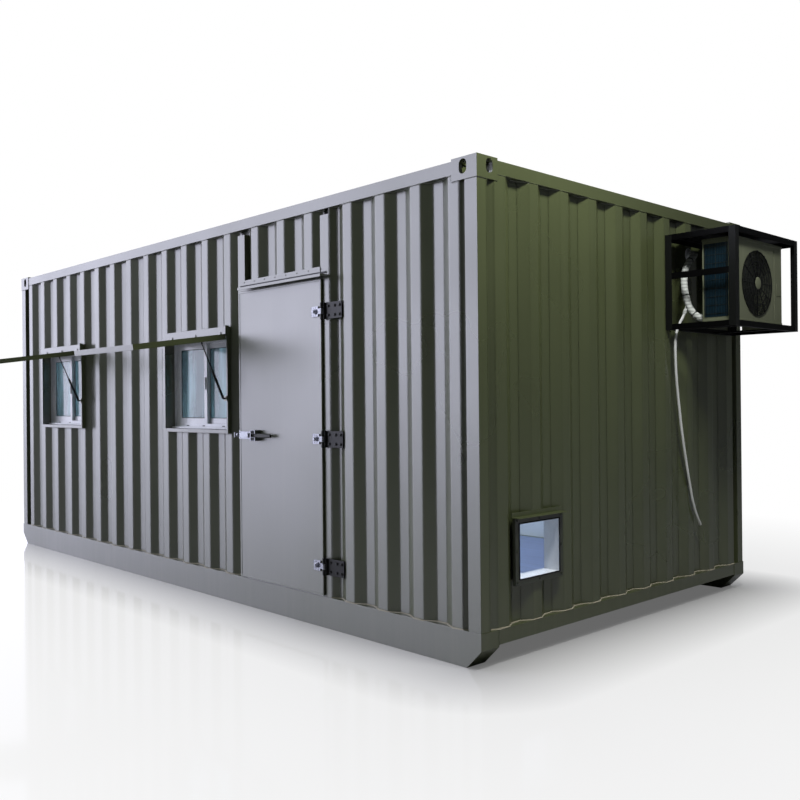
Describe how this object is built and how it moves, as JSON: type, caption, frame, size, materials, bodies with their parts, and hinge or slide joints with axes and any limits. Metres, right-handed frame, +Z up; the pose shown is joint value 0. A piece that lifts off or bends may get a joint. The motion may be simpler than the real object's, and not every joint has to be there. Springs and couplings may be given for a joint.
{
  "type": "shipping container cabin",
  "caption": "Corrugated steel container cabin on skids with a hinged door, windows under propped shutters, a cable port and a caged cooling unit.",
  "frame": {"origin": "middle of the foot of the door-side skid, on the ground, at the cabin's mid-length", "axes": "+Z up; +X along the cabin towards the end wall with the cooling unit; the door side faces -Y"},
  "size_m": [6.528, 3.5843, 2.623],
  "materials": {
    "olive_paint": "semi-gloss",
    "olive_paint_dark": "satin",
    "black_paint": "satin",
    "chrome": "polished",
    "white_panel": "satin",
    "white_plastic": "gloss",
    "glass": "clear",
    "floor": "satin",
    "threshold": "brushed",
    "unit_paint": "satin",
    "black_plastic": "matte",
    "pipe_tape": "matte",
    "hose": "satin"
  },
  "bodies": {
    "cabin": {"skid_front": "olive_paint", "skid_back": "olive_paint", "end_sills": "olive_paint", "floor_joists": "olive_paint_dark", "floor_deck": "floor", "corner_posts": "olive_paint", "corner_castings": "olive_paint", "top_rails": "olive_paint", "front_skin_left": "olive_paint", "front_skin_right": "olive_paint", "front_skin_over_door": "olive_paint", "back_skin": "olive_paint", "right_end_skin": "olive_paint", "left_end_skin": "olive_paint", "roof_skin": "olive_paint", "roof_end_plates": "olive_paint", "front_lining_left": "white_panel", "front_lining_right": "white_panel", "front_lining_over_door": "white_panel", "back_lining": "white_panel", "right_end_lining": "white_panel", "left_end_lining": "white_panel", "ceiling_panels": "white_panel", "door_jambs": "olive_paint", "door_header": "olive_paint", "door_threshold": "threshold", "rain_hood": "olive_paint", "hinge_straps": "black_paint", "latch_keeper": "chrome", "window_surrounds": "olive_paint", "window_frames": "white_plastic", "window_sashes": "white_plastic", "window_panes": "glass", "shutter_left": "olive_paint", "shutter_right": "olive_paint", "gas_struts": "black_paint", "cage_posts": "black_paint", "cage_rails": "black_paint", "cage_roof": "black_paint", "unit_casing": "unit_paint", "unit_grille": "black_paint", "pipe_bundle": "pipe_tape", "drain_hose": "hose", "port_frame": "olive_paint_dark", "port_hood": "olive_paint"},
    "door": {"door_leaf": "olive_paint", "hinge_arms": "chrome", "latch_body": "chrome"},
    "lever": {"latch_lever": "black_paint"},
    "fan": {"unit_fan": "black_plastic"}
  },
  "joints": [
    {"name": "door_swing", "type": "hinge", "parent": "cabin", "child": "door", "pos_m": [1.788, -0.088, 1.145], "axis": [0, 0, 1], "range_deg": [0, 110]},
    {"name": "lever_turn", "type": "hinge", "parent": "door", "child": "lever", "pos_m": [1.088, -0.11, 1.153], "axis": [0, 0, -1], "range_deg": [0, 35]},
    {"name": "fan_spin", "type": "hinge", "parent": "cabin", "child": "fan", "pos_m": [3.38, 2.117, 2.1], "axis": [1, 0, 0], "continuous": true}
  ]
}
